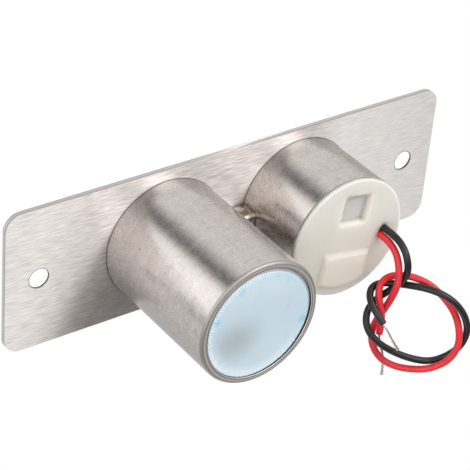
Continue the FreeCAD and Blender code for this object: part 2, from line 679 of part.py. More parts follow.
def make_end_plug():
    """Moulded plug with a window recess, a raised pad, the lead outlet and three board posts."""
    body = new_body("end_plug", SHORT_TUBE)
    turned(body, [
        ("0", PLUG_INNER), (SKIRT_INSIDE, PLUG_INNER), (SKIRT_INSIDE, SKIRT_FRONT),
        (SKIRT_RADIUS, SKIRT_FRONT), (SKIRT_RADIUS, "Sizes.short_tube_length"),
        (PLUG_RADIUS, "Sizes.short_tube_length"), (PLUG_RADIUS, PLUG_FACE), ("0", PLUG_FACE),
    ])
    smoothed(body, "Sizes.plug_round", is_ring(PLUG_RADIUS, PLUG_FACE))
    turn = -value("Sizes.plug_turn")

    box_depth = "(Sizes.window_depth + Sizes.window_wall - Sizes.plug_end_wall)"
    box = new_sketch(body, behind=PLUG_INNER, turn=turn)
    wall = "Sizes.window_wall"
    rectangle(box, f"-(Sizes.window_left + {wall})", f"Sizes.window_right + {wall}",
              f"Sizes.window_bottom - {wall}", f"Sizes.window_top + {wall}")
    padded(body, box, box_depth, forwards=True)

    window = new_sketch(body, behind=PLUG_FACE, turn=turn)
    rectangle(window, "-Sizes.window_left", "Sizes.window_right", "Sizes.window_bottom",
              "Sizes.window_top")
    cut(body, window, "Sizes.window_depth")
    window_floor = value(f"{PLUG_FACE} - Sizes.window_depth")

    def is_window_corner(edge):
        box = edge.BoundBox
        return (is_upright(edge) and near(box.ZMin, window_floor)
                and near(box.ZMax, value(PLUG_FACE)))
    smoothed(body, "Sizes.window_round", is_window_corner)
    smoothed(body, "Sizes.window_round / 2", is_level(f"{PLUG_FACE} - Sizes.window_depth"))
    on_face = is_level(PLUG_FACE)
    on_rim = is_ring(f"({PLUG_RADIUS} - Sizes.plug_round)", PLUG_FACE)
    smoothed(body, "Sizes.window_lip", lambda edge: on_face(edge) and not on_rim(edge))

    raised_pad(body, turn)
    lead_outlet(body)
    posts = new_sketch(body, behind=PLUG_INNER)
    screw_holes = new_sketch(body, behind=BOARD_BACK)
    for angle in POST_ANGLES:
        x = f"Sizes.post_circle * cos({angle}deg)"
        y = f"Sizes.post_circle * sin({angle}deg)"
        circle(posts, x, y, "Sizes.post_diameter / 2")
        circle(screw_holes, x, y, "Sizes.post_screw / 2")
    padded(body, posts, f"{PLUG_INNER} - {BOARD_BACK}", forwards=True)
    cut(body, screw_holes, "Sizes.post_screw_length - Sizes.board_thickness", backwards=True)


def raised_pad(body, turn):
    """Adds the low pad between the plug's middle and its lower rim, with sloping sides."""
    reach = f"({PLUG_RADIUS} - Sizes.pad_margin)"
    sketch = new_sketch(body, behind=PLUG_FACE, turn=turn)
    left, right, top = -value("Sizes.pad_left"), value("Sizes.pad_right"), -value("Sizes.pad_top")
    radius = value(reach)
    low_left = Vector(left, -math.sqrt(radius ** 2 - left ** 2), 0)
    low_right = Vector(right, -math.sqrt(radius ** 2 - right ** 2), 0)
    high_left = Vector(left, top, 0)
    high_right = Vector(right, top, 0)
    sketch.addGeometry(Part.LineSegment(high_left, high_right))
    sketch.addGeometry(Part.LineSegment(high_right, low_right))
    sketch.addGeometry(Part.LineSegment(low_left, high_left))
    bottom = Part.Arc(low_left, Vector(0, -radius, 0), low_right)
    sketch.addGeometry(bottom)
    pin_point(sketch, 0, 1, "-Sizes.pad_left", "-Sizes.pad_top")
    pin_point(sketch, 0, 2, "Sizes.pad_right", "-Sizes.pad_top")
    sketch.addConstraint([
        Sketcher.Constraint("Coincident", 0, 2, 1, 1),
        Sketcher.Constraint("Coincident", 2, 2, 0, 1),
        Sketcher.Constraint("Coincident", 3, 1, 2, 1),
        Sketcher.Constraint("Coincident", 3, 2, 1, 2),
        Sketcher.Constraint("Coincident", 3, 3, -1, 1),
        Sketcher.Constraint("Vertical", 1),
        Sketcher.Constraint("Vertical", 2),
    ])
    set_radius(sketch, 3, reach)
    pad = padded(body, sketch, "Sizes.pad_height")
    pad.setExpression("TaperAngle", "-Sizes.pad_taper")
    smoothed(body, "Sizes.pad_round", is_level(f"{PLUG_FACE} + Sizes.pad_height"))


def lead_outlet(body):
    """Cuts the oblong hole that both supply leads leave by."""
    red = Vector(RED_ROUTE[0][0], RED_ROUTE[0][2], 0)
    black = Vector(BLACK_ROUTE[0][0], BLACK_ROUTE[0][2], 0)
    middle = (red + black) / 2
    across = black - red
    angle = math.degrees(math.atan2(across.y, across.x))
    shift = (f"{middle.x} - Sizes.route_axis", str(middle.y))
    sketch = new_sketch(body, behind=PLUG_FACE, turn=angle, shift=shift)
    half = across.Length / 2
    radius = value("Sizes.supply_lead / 2 + Sizes.outlet_clearance")
    right = Part.Circle(Vector(half, 0, 0), Vector(0, 0, 1), radius)
    left = Part.Circle(Vector(-half, 0, 0), Vector(0, 0, 1), radius)
    quarter = math.pi / 2
    sketch.addGeometry(Part.ArcOfCircle(right, -quarter, quarter))
    sketch.addGeometry(Part.LineSegment(Vector(half, radius, 0), Vector(-half, radius, 0)))
    sketch.addGeometry(Part.ArcOfCircle(left, quarter, 3 * quarter))
    sketch.addGeometry(Part.LineSegment(Vector(-half, -radius, 0), Vector(half, -radius, 0)))
    pin_point(sketch, 0, 3, str(half), "0")
    pin_point(sketch, 2, 3, str(-half), "0")
    for number in range(4):
        after = (number + 1) % 4
        sketch.addConstraint(Sketcher.Constraint("Tangent", number, 2, after, 1))
    set_radius(sketch, 0, "Sizes.supply_lead / 2 + Sizes.outlet_clearance")
    cut(body, sketch, "Sizes.plug_end_wall + Sizes.plug_fit")


def make_control_board():
    board = new_body("control_board", SHORT_TUBE)
    sketch = circle(new_sketch(board, behind=BOARD_FRONT), "0", "0", BOARD_RADIUS)
    for angle in POST_ANGLES:
        circle(sketch, f"Sizes.post_circle * cos({angle}deg)", f"Sizes.post_circle * sin({angle}deg)",
               "Sizes.post_screw / 2 + Sizes.running_clearance")
    padded(board, sketch, "Sizes.board_thickness")
    head = value("Sizes.post_screw_head") / 2
    height = value("Sizes.post_screw_head_height")
    screws = []
    for angle in POST_ANGLES:
        turn = math.radians(angle)
        reach = value("Sizes.post_circle")
        place = Vector(reach * math.cos(turn), reach * math.sin(turn), value(BOARD_FRONT))
        cap = Part.makeCylinder(head, height, place - Vector(0, 0, height))
        cap = cap.makeFillet(height / 3, [cap.Edges[2]])
        shank = Part.makeCylinder(value("Sizes.post_screw") / 2, value("Sizes.post_screw_length"), place)
        screws.append(cap.fuse(shank).removeSplitter())
    add_feature("board_screws", Part.makeCompound(screws), SHORT_TUBE)


def stands_on_board(name, left, right, bottom, top, height):
    """A box that stands on the board's front face, towards the plate."""
    body = new_body(name, SHORT_TUBE)
    sketch = rectangle(new_sketch(body, behind=BOARD_FRONT), left, right, bottom, top)
    padded(body, sketch, height, forwards=True)
    return body


def make_board_parts():
    """Relay, capacitor, timer chip, diode and reed switch on the board's front face."""
    relay_left = "Sizes.relay_right - Sizes.relay_length"
    relay_bottom = "Sizes.relay_top - Sizes.relay_width"
    relay = stands_on_board("driver_relay", relay_left, "Sizes.relay_right", relay_bottom,
                            "Sizes.relay_top", "Sizes.relay_height")
    smoothed(relay, "Sizes.component_leg", is_upright)

    capacitor = new_body("smoothing_capacitor", SHORT_TUBE + " + Sizes.capacitor_x")
    capacitor.setExpression("Placement.Base.z", "Sizes.capacitor_y")
    can = "Sizes.capacitor_diameter / 2"
    edge = "Sizes.component_leg / 2"
    waist = f"{BOARD_FRONT} - Sizes.capacitor_waist"
    top = f"({BOARD_FRONT} - Sizes.capacitor_height)"
    turned(capacitor, [
        ("0", BOARD_FRONT), (can, BOARD_FRONT), (can, f"{waist} + {edge}"),
        (f"{can} - {edge}", waist), (can, f"{waist} - {edge}"),
        (can, f"{top} + {edge}"), (f"{can} - {edge}", top), ("0", top),
    ])

    chip = new_body("timer_chip", SHORT_TUBE)
    chip_back = f"({BOARD_FRONT} - Sizes.component_leg)"
    middle = ("Sizes.chip_x", "Sizes.chip_y")
    half_width = "Sizes.chip_width / 2"
    case = new_sketch(chip, behind=chip_back, shift=middle)
    rectangle(case, "-Sizes.chip_length / 2", "Sizes.chip_length / 2", "-" + half_width, half_width)
    padded(chip, case, "Sizes.chip_height", forwards=True)
    legs = new_sketch(chip, behind=BOARD_FRONT, shift=middle)
    half_leg = "Sizes.component_leg / 2"
    inner = f"{half_width} - {half_leg}"
    outer = f"{half_width} + Sizes.chip_leg_reach"
    for number in range(4):
        place = f"Sizes.chip_leg_pitch * {number - 1.5}"
        for low, high in ((f"-({outer})", f"-({inner})"), (inner, outer)):
            rectangle(legs, f"{place} - {half_leg}", f"{place} + {half_leg}", low, high)
    padded(chip, legs, "Sizes.component_leg + Sizes.chip_height / 2", forwards=True)

    diode_level = value(f"{BOARD_FRONT} - Sizes.diode_diameter / 2 - Sizes.component_leg / 2")
    diode_place = Vector(value("Sizes.diode_x"), value("Sizes.diode_y"), diode_level)
    diode = on_legs(diode_place, Vector(0, 1, 0), "Sizes.diode_diameter / 2", "Sizes.diode_length")
    add_feature("flyback_diode", diode, SHORT_TUBE)
    reed_level = value(f"{BOARD_FRONT} - Sizes.reed_height")
    reed_place = Vector(0, value("Sizes.reed_y"), reed_level)
    reed = on_legs(reed_place, Vector(1, 0, 0), "Sizes.reed_diameter / 2", "Sizes.reed_length")
    add_feature("reed_switch", reed, SHORT_TUBE)


def on_legs(middle, along, radius, length):
    """A round part that lies on bent wire legs, which stand on the board's front face."""
    leg = value("Sizes.component_leg")
    half = value(length) / 2
    shape = Part.makeCylinder(value(radius), 2 * half, middle - along * half, along)
    for side in (-1, 1):
        root = middle + along * (side * (half - leg))
        knee = middle + along * (side * (half + value("Sizes.leg_reach")))
        foot = Vector(knee.x, knee.y, value(BOARD_FRONT))
        path, _ = rounded_path([root, knee, foot])
        shape = shape.fuse(swept(path, leg))
    return shape.removeSplitter()


def solder_joint(place):
    """A low cone of solder on the board's rear face."""
    base = value("Sizes.solder_diameter") / 2
    return Part.makeCone(base, base / 2, value("Sizes.solder_height"), place)


def make_supply_leads():
    """The supply leads: from the board to the outlet, then free in their loops to bare strands.

    The routes were drawn for one place of the short housing, and go along with it.
    """
    diameter = value("Sizes.supply_lead")
    axis = value("Sizes.route_axis")
    stub = value("Sizes.strand_stub")
    face = value(PLUG_FACE)
    board = value(BOARD_BACK)
    solder_height = value("Sizes.solder_height")
    joints = []
    routes = (("red", RED_ROUTE, RED_STRANDS), ("black", BLACK_ROUTE, BLACK_STRANDS))
    for colour, route, strands in routes:
        pad = Vector(axis + value(f"Sizes.{colour}_pad_x"), value(f"Sizes.{colour}_pad_y"), 0)
        exit_place = Vector(route[0][0], route[0][2], 0)
        run = (face - board - solder_height) / 3
        inside = [
            exit_place + Vector(0, 0, face), exit_place + Vector(0, 0, face - run),
            pad + Vector(0, 0, face - 2 * run), pad + Vector(0, 0, board + solder_height),
        ]
        name = "inner_lead_" + colour
        add_feature(name, cord(name, inside, diameter), ROUTE_SHIFT)
        joints.append(solder_joint(pad + Vector(0, 0, board)))
        name = "supply_lead_" + colour
        points = [Vector(*place) for place in route]
        add_feature(name, cord(name, points, diameter), ROUTE_SHIFT, turn=False)
        name = "bare_strands_" + colour
        onwards = (points[-1] - points[-2]).normalize()
        points = [points[-1], points[-1] + onwards * stub] + [Vector(*place) for place in strands]
        add_feature(name, cord(name, points, value("Sizes.strands")), ROUTE_SHIFT, turn=False)
    add_feature("solder_joints", Part.makeCompound(joints), ROUTE_SHIFT)


make_face_plate()
make_housings()
make_rear_cap()
make_link_duct()
make_guide_bush()
make_bolt()
make_return_spring()
make_solenoid()
make_coil_leads()
make_end_plug()
make_control_board()
make_board_parts()
make_supply_leads()
document.recompute()

for item in document.Objects:
    if "Invalid" in item.State or "Error" in item.State:
        raise RuntimeError(f"{item.Name} is {item.State}")
for piece in pieces:
    if piece.Shape.isNull() or not piece.Shape.isValid() or not piece.Shape.Solids:
        raise RuntimeError(piece.Label + " has no valid solid")

os.makedirs("parts", exist_ok=True)
for piece in pieces:
    piece.Shape.exportStep(os.path.join("parts", piece.Label + ".step"))
    print(f"{piece.Label}: {len(piece.Shape.Solids)} solid(s), {piece.Shape.Volume:.1f} mm3")
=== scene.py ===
import math

import bmesh
import bpy
from mathutils import Matrix, Vector, noise


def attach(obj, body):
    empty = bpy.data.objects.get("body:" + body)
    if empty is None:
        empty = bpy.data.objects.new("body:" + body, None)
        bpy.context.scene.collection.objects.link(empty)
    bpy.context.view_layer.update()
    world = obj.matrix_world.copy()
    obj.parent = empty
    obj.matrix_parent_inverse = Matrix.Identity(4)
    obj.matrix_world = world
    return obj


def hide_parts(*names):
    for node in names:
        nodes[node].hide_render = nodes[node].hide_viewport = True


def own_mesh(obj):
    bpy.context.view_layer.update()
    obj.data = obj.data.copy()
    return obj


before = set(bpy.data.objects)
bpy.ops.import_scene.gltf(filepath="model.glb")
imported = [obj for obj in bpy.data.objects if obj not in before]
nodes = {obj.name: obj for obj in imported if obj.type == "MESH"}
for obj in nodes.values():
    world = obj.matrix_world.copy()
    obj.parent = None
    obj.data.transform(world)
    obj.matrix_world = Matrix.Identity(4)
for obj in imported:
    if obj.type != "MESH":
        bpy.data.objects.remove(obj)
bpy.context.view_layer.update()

# Places in the row's frame, in metres: the housings' axes on the plate's back, the levels of
# their far ends along Y, the screws' distance from the middle, and the film on the cap
LONG_TUBE = Vector((-0.023, 0, 0))
SHORT_TUBE = Vector((0.023, 0, 0))
LONG_TUBE_END = -0.0465
SHORT_TUBE_END = -0.0240
SCREW_PLACE = 0.0635
FILM_CENTRE = Vector((-0.0232, -0.0460, -0.0004))
FILM_EDGE = 0.01645
FILM_THICKNESS = 0.00006

LEAD_DIAMETER = 0.0021
STRANDS = 7
STRAND_DIAMETER = 0.00024

# The routes of the two supply leads, from their exits on the end plug's face
RED_ROUTE = [
    (0.0348, -0.0256, -0.00245), (0.0348, -0.0279, -0.00245), (0.0348, -0.0301, -0.0027),
    (0.0348, -0.0322, -0.0035), (0.0348, -0.0340, -0.0051), (0.03465, -0.0354, -0.00745),
    (0.03445, -0.0363, -0.0104), (0.03355, -0.0370, -0.01385), (0.03265, -0.0361, -0.0184),
    (0.03265, -0.0338, -0.02355), (0.03215, -0.0319, -0.02805), (0.03125, -0.0314, -0.0321),
    (0.03105, -0.0327, -0.0363), (0.0328, -0.0350, -0.04035), (0.0360, -0.0378, -0.04255),
    (0.03995, -0.0411, -0.04305), (0.04395, -0.0448, -0.04205), (0.0476, -0.0482, -0.03825),
    (0.04995, -0.0492, -0.03335), (0.05025, -0.0484, -0.0281), (0.0495, -0.0462, -0.0227),
    (0.04685, -0.0430, -0.01785), (0.04385, -0.0393, -0.01445), (0.0404, -0.0356, -0.01305),
    (0.0371, -0.0331, -0.01285), (0.0339, -0.0320, -0.0132), (0.0314, -0.0322, -0.0148),
    (0.03025, -0.0333, -0.01725), (0.03035, -0.0345, -0.02015), (0.0309, -0.0352, -0.0236),
    (0.0312, -0.0352, -0.0269), (0.03165, -0.0345, -0.03085),
]
BLACK_ROUTE = [
    (0.0360, -0.0256, -0.0005), (0.0360, -0.0284, -0.0005), (0.0360, -0.0310, -0.0006),
    (0.0360, -0.0335, -0.00125), (0.0360, -0.0357, -0.00265), (0.03605, -0.0371, -0.0048),
    (0.03655, -0.0374, -0.0076), (0.03705, -0.0367, -0.0108), (0.0368, -0.0351, -0.01445),
    (0.0349, -0.0330, -0.01765), (0.0325, -0.0311, -0.0205), (0.0298, -0.0304, -0.02345),
    (0.02805, -0.0317, -0.0266), (0.0282, -0.0336, -0.02995), (0.0305, -0.0358, -0.0333),
    (0.0345, -0.0381, -0.03645), (0.0397, -0.0405, -0.03935), (0.0456, -0.0430, -0.04115),
    (0.0504, -0.0456, -0.0387), (0.05275, -0.0481, -0.0337), (0.05275, -0.0492, -0.02725),
    (0.04975, -0.0487, -0.02035), (0.04555, -0.0464, -0.01545), (0.0416, -0.0422, -0.0138),
    (0.03885, -0.0367, -0.01495), (0.0367, -0.0326, -0.0161), (0.0340, -0.0304, -0.01625),
    (0.0312, -0.0299, -0.01645), (0.0290, -0.0309, -0.01735), (0.02775, -0.0329, -0.01865),
    (0.0276, -0.0351, -0.02025), (0.0281, -0.0370, -0.0220), (0.02895, -0.0385, -0.0240),
]
# The routes of their bare strands, from the cut ends of the insulation
RED_STRANDS = [
    (0.03165, -0.0345, -0.03085), (0.03182, -0.03424, -0.03232), (0.03285, -0.0341, -0.03555),
    (0.03435, -0.0342, -0.03945), (0.03495, -0.0344, -0.0440), (0.0349, -0.0345, -0.04755),
]
BLACK_STRANDS = [
    (0.02895, -0.0385, -0.0240), (0.02943, -0.03935, -0.02514), (0.03065, -0.0395, -0.02755),
    (0.03265, -0.0395, -0.0311), (0.03495, -0.0399, -0.0348),
]


# Camera

CAMERA_PLACE = (-0.2949, -0.3812, 0.3160)
CAMERA_VIEW = Vector((0.51087, 0.65565, -0.556))
CAMERA_ROLL = 5.129
CAMERA_LENS = 154.06


def add_camera():
    """Long lens from above and behind the plate, turned a little about its own axis."""
    data = bpy.data.cameras.new("camera")
    data.sensor_width = 36
    data.lens = CAMERA_LENS
    data.clip_end = 20
    camera = bpy.data.objects.new("camera", data)
    bpy.context.scene.collection.objects.link(camera)
    roll = Matrix.Rotation(math.radians(CAMERA_ROLL), 4, "Z")
    aim = CAMERA_VIEW.to_track_quat("-Z", "Y").to_matrix().to_4x4()
    camera.matrix_world = Matrix.Translation(CAMERA_PLACE) @ aim @ roll
    bpy.context.scene.camera = camera


# Node helpers

class Finish:
    """A material and its node tree, with short calls for the patterns that the finishes share."""

    def __init__(self, name):
        self.material = bpy.data.materials.new(name)
        self.material.use_nodes = True
        self.tree = self.material.node_tree
        self.shader = self.tree.nodes["Principled BSDF"]
        self.place = self.add("ShaderNodeTexCoord").outputs["Object"]

    def add(self, kind, **settings):
        node = self.tree.nodes.new(kind)
        for key, setting in settings.items():
            setattr(node, key, setting)
        return node

    def link(self, output, socket):
        self.tree.links.new(output, socket)

    def mapped(self, location=(0, 0, 0), rotation=(0, 0, 0), scale=(1, 1, 1), source=None):
        """Places moved, turned or stretched, so that a pattern on them runs as it should."""
        node = self.add("ShaderNodeMapping")
        node.inputs["Location"].default_value = location
        node.inputs["Rotation"].default_value = rotation
        node.inputs["Scale"].default_value = scale
        self.link(source or self.place, node.inputs["Vector"])
        return node.outputs["Vector"]

    def speckle(self, vector, scale, detail=4, roughness=0.55):
        """Soft random pattern from 0 to 1."""
        node = self.add("ShaderNodeTexNoise")
        node.inputs["Scale"].default_value = scale
        node.inputs["Detail"].default_value = detail
        node.inputs["Roughness"].default_value = roughness
        self.link(vector, node.inputs["Vector"])
        return node.outputs["Fac"]

    def math(self, operation, *sources):
        node = self.add("ShaderNodeMath", operation=operation)
        for socket, source in zip(node.inputs, sources):
            if isinstance(source, (int, float)):
                socket.default_value = source
            else:
                self.link(source, socket)
        return node.outputs[0]

    def both(self, first, second):
        """Two masks, or a pattern and a number, multiplied."""
        return self.math("MULTIPLY", first, second)

    def mixed(self, first, share, second):
        """Two patterns added, the first by its share and the second by the rest."""
        return self.math("ADD", self.both(first, share), self.both(second, 1 - share))

    def span(self, source, low, high, to_low=0.0, to_high=1.0, smooth=False):
        """A number carried from one range to another, and held at the range's ends."""
        node = self.add("ShaderNodeMapRange")
        node.interpolation_type = "SMOOTHSTEP" if smooth else "LINEAR"
        node.inputs["From Min"].default_value = low
        node.inputs["From Max"].default_value = high
        node.inputs["To Min"].default_value = to_low
        node.inputs["To Max"].default_value = to_high
        self.link(source, node.inputs["Value"])
        return node.outputs["Result"]

    def blend(self, amount, first, second):
        """The first colour where the amount is 0, the second where it is 1."""
        node = self.add("ShaderNodeMix", data_type="RGBA")
        sockets = [s for s in node.inputs if s.enabled and s.type in ("RGBA", "VALUE")]
        for socket, source in zip(sockets, (amount, first, second)):
            if isinstance(source, (int, float)):
                socket.default_value = source
            elif isinstance(source, tuple):
                socket.default_value = (*source, 1)
            else:
                self.link(source, socket)
        return [s for s in node.outputs if s.enabled][0]

    def colour(self, source):
        self.link(source, self.shader.inputs["Base Color"])

    def rough(self, source):
        self.link(source, self.shader.inputs["Roughness"])

    def set(self, **numbers):
        for key, number in numbers.items():
            self.shader.inputs[key.replace("_", " ")].default_value = number

    def axes(self, vector):
        node = self.add("ShaderNodeSeparateXYZ")
        self.link(vector, node.inputs[0])
        return node.outputs

    def from_axis(self, x, z, scale=(1, 0, 1)):
        """The place measured across the plate from a line along Y, and its distance from it."""
        across = self.mapped(location=(-x * scale[0], 0, -z * scale[2]), scale=scale)
        node = self.add("ShaderNodeVectorMath", operation="LENGTH")
        self.link(across, node.inputs[0])
        return across, node.outputs["Value"]

    def from_nearer_axis(self, first_x, second_x):
        """The distance from the nearer of two lines along Y."""
        _, from_first = self.from_axis(first_x, 0)
        _, from_second = self.from_axis(second_x, 0)
        return self.math("MINIMUM", from_first, from_second)

    def relief(self, height, strength, distance, edge=0):
        """Raises the surface by a pattern, and softens the light on edges by their rounding."""
        node = self.add("ShaderNodeBump")
        if edge:
            rounding = self.add("ShaderNodeBevel", samples=8)
            rounding.inputs["Radius"].default_value = edge
            self.link(rounding.outputs["Normal"], node.inputs["Normal"])
        node.inputs["Strength"].default_value = strength
        node.inputs["Distance"].default_value = distance
        self.link(height, node.inputs["Height"])
        self.link(node.outputs["Normal"], self.shader.inputs["Normal"])


def shade(colour, factor):
    """A colour made darker or lighter."""
    return tuple(channel * factor for channel in colour)


# Finishes

# Bands, in metres, over which one finish, painted light or painted shade gives way to the next.
# The plate's ends lie along X, those named for a radius lie round an axis, and the others are
# levels along Y. A housing's face is a band of its own depth, in from the housing's end.
PLATE_LEFT_END = (-0.046, -0.066)
PLATE_RIGHT_END = (0.024, 0.040)
PLATE_BACK = (0.0002, 0.0001)
PLATE_EDGE_AT_BACK = (0.00002, 0.0001)
PLATE_EDGE_AT_FRONT = (0.00158, 0.0015)
SHEARED_TO_BRIGHT = (0.0004, 0.0007)
BRIGHT_TO_TORN = (0.0011, 0.0013)
SCREW_BORE_RADIUS = (0.00332, 0.00312)
PLATE_SEAM_SHADE_RADIUS = (0.0194, 0.0190)
HOUSING_SEAM_SHADE = (-0.0004, -0.0001)
HOUSING_FACE_DEPTH = 0.0001
HOUSING_FACE_RADIUS = (0.0191, 0.0188)
RIM = (-0.0455, -0.0459)
RIM_SHOULDER = (-0.0455, -0.0457)
RIM_SHOULDER_RADIUS = (0.0181, 0.0184)
RIM_LIP_OUTER = (-0.04645, -0.0462)
RIM_LIP_INNER = (-0.0450, -0.0455)
RIM_LIP_RADIUS = (0.0172, 0.0170)
DUCT_BY_PLATE = (-0.0006, -0.0002)
DUCT_BY_HOUSING_RADIUS = (0.0196, 0.0191)
PLUG_BELOW_FACE = (-0.0255, -0.0252)
PLUG_BELOW_FACE_RADIUS = (0.0170, 0.0168)
WINDOW_FLOOR_OUTER = (-0.0239, -0.0235)
WINDOW_FLOOR_INNER = (-0.0228, -0.0230)

# How close the fine rings on the rim lie, in radians for each metre outwards
RIM_RINGS = 6800


def plate_finish():
    """Hairline brushing along the plate, with painted light towards its ends, sheared edges,
    painted shade in the screw bores and, on its back, painted shade at the seam round each
    housing."""
    steel = Finish("plate_hairline")
    tone = (0.675, 0.637, 0.618)
    fine = steel.speckle(steel.mapped(scale=(200, 900, 4200)), 1, 2)
    broad = steel.speckle(steel.mapped(scale=(90, 300, 2100)), 1, 2)
    cloud = steel.speckle(steel.place, 26, 3)
    lines = steel.mixed(fine, 0.75, broad)
    contrast = steel.span(lines, 0.41, 0.59)
    body = steel.blend(contrast, shade(tone, 0.72), shade(tone, 1.10))
    body = steel.blend(steel.span(cloud, 0.35, 0.7, 0, 0.25), body, (0.66, 0.63, 0.605))
    along = steel.axes(steel.place)
    level = along["Y"]
    # Painted light: a brighter tone blended in towards both ends of the plate
    painted_light_left_end = steel.span(along["X"], *PLATE_LEFT_END, 0, 0.50, smooth=True)
    painted_light_right_end = steel.span(along["X"], *PLATE_RIGHT_END, 0, 0.90, smooth=True)
    painted_light_tone = steel.blend(contrast, (0.85, 0.815, 0.79), (1.0, 0.97, 0.95))
    body = steel.blend(steel.math("ADD", painted_light_left_end, painted_light_right_end), body, painted_light_tone)
    edge = steel.both(steel.span(level, *PLATE_EDGE_AT_BACK),
                      steel.span(level, *PLATE_EDGE_AT_FRONT))
    cut = steel.blend(steel.span(level, *SHEARED_TO_BRIGHT),
                      (0.56, 0.535, 0.52), (0.78, 0.755, 0.74))
    cut = steel.blend(steel.span(level, *BRIGHT_TO_TORN), cut, (0.60, 0.58, 0.57))
    body = steel.blend(edge, body, cut)
    # Painted shade: dark in the screw bores and in a thin ring round them
    from_screw = steel.from_nearer_axis(-SCREW_PLACE, SCREW_PLACE)
    body = steel.blend(steel.span(from_screw, *SCREW_BORE_RADIUS), body, (0.13, 0.12, 0.115))
    # Painted shade: a dark ring on the plate's back where each housing meets it
    from_housing = steel.from_nearer_axis(LONG_TUBE.x, SHORT_TUBE.x)
    painted_seam_shade = steel.both(steel.span(from_housing, *PLATE_SEAM_SHADE_RADIUS, 0, 0.6),
                      steel.span(level, *PLATE_BACK))
    steel.colour(steel.blend(painted_seam_shade, body, (0.10, 0.09, 0.085)))
    steel.set(Metallic=1.0, Anisotropic=1.0, Anisotropic_Rotation=0.25)
    steel.rough(steel.span(lines, 0.3, 0.7, 0.38, 0.46))
    steel.relief(lines, 0.25, 0.00003)
    return steel.material


def housing_finish(name, axis, end):
    """Satin drawn steel with faint rings, mottling, rubs, stains and small pits; finer rings on
    the rolled rim, painted shade on the rim's shoulder, a duller end face with painted light, and
    painted shade at the seam by the plate and in the rim's recess."""
    steel = Finish(name)
    tone = (0.665, 0.624, 0.603)
    centred = steel.mapped(location=tuple(-axis))
    rings = steel.speckle(steel.mapped(scale=(30, 1900, 30), source=centred), 1, 3)
    grain = steel.speckle(centred, 1300, 3, 0.65)
    mottle = steel.speckle(centred, 420, 3, 0.5)
    cloud = steel.speckle(centred, 38, 3)
    pits = steel.speckle(centred, 520, 2)
    stains = steel.speckle(centred, 190, 4, 0.75)
    rubs = steel.speckle(steel.mapped(scale=(330, 60, 330), source=centred), 1, 3, 0.6)
    fine = steel.mixed(rings, 0.35, grain)
    marks = steel.mixed(fine, 0.7, mottle)
    body = steel.blend(steel.span(marks, 0.38, 0.62), shade(tone, 0.86), shade(tone, 1.12))
    body = steel.blend(steel.span(cloud, 0.4, 0.7, 0, 0.25), body, shade(tone, 0.84))
    body = steel.blend(steel.span(rubs, 0.62, 0.74, 0, 0.16), body, shade(tone, 0.62))
    body = steel.blend(steel.span(stains, 0.63, 0.72, 0, 0.35), body, shade(tone, 0.50))
    body = steel.blend(steel.span(pits, 0.72, 0.77, 0, 0.7), body, (0.17, 0.155, 0.145))
    level = steel.axes(steel.place)["Y"]
    _, radius = steel.from_axis(axis.x, 0)
    rim = steel.span(level, *RIM)
    rim_rings = steel.span(steel.math("SINE", steel.both(radius, RIM_RINGS)), -0.8, 0.8)
    rim_tone = steel.blend(rim_rings, (0.46, 0.43, 0.41), (0.86, 0.83, 0.80))
    body = steel.blend(rim, body, rim_tone)
    # Painted shade: a darker band on the rim's rounded shoulder
    painted_shoulder_shade = steel.both(steel.span(radius, *RIM_SHOULDER_RADIUS),
                          steel.span(level, *RIM_SHOULDER))
    body = steel.blend(painted_shoulder_shade, body, (0.40, 0.375, 0.36))
    # Painted shade: a dark ring in the rim's recess inside the lip
    painted_lip_shade = steel.both(steel.span(radius, *RIM_LIP_RADIUS), steel.span(level, *RIM_LIP_OUTER))
    painted_lip_shade = steel.both(painted_lip_shade, steel.span(level, *RIM_LIP_INNER))
    face = steel.both(steel.span(level, end + HOUSING_FACE_DEPTH, end),
                      steel.span(radius, *HOUSING_FACE_RADIUS))
    # Painted light: a lighter tone on the housing's end face, off the rim
    painted_light_face = steel.both(face, steel.math("SUBTRACT", 1, rim))
    body = steel.blend(painted_light_face, body, (0.97, 0.95, 0.92))
    # Painted shade: dark along the housing next to the plate, and in the rim's recess
    painted_seam_shade = steel.math("MAXIMUM", steel.span(level, *HOUSING_SEAM_SHADE, 0, 0.6), painted_lip_shade)
    steel.colour(steel.blend(painted_seam_shade, body, (0.08, 0.07, 0.065)))
    steel.set(Metallic=1.0)
    satin = steel.span(marks, 0.3, 0.7, 0.20, 0.31)
    steel.rough(steel.math("MULTIPLY_ADD", steel.math("MAXIMUM", rim, face), 0.28, satin))
    steel.relief(fine, 0.25, 0.00002)
    return steel.material


def turned_finish(name, tone, low, high, metal_share=1.0):
    """Metal with fine turned rings, for pins, rings, wire and other small parts."""
    metal = Finish(name)
    rings = metal.speckle(metal.mapped(scale=(60, 2600, 60)), 1, 3)
    mottle = metal.speckle(metal.place, 240, 4)
    marks = metal.mixed(rings, 0.6, mottle)
    metal.colour(metal.blend(metal.span(marks, 0.35, 0.65), shade(tone, 0.86), shade(tone, 1.12)))
    metal.set(Metallic=metal_share)
    metal.rough(metal.span(marks, 0.3, 0.7, low, high))
    metal.relief(marks, 0.2, 0.00003)
    return metal.material


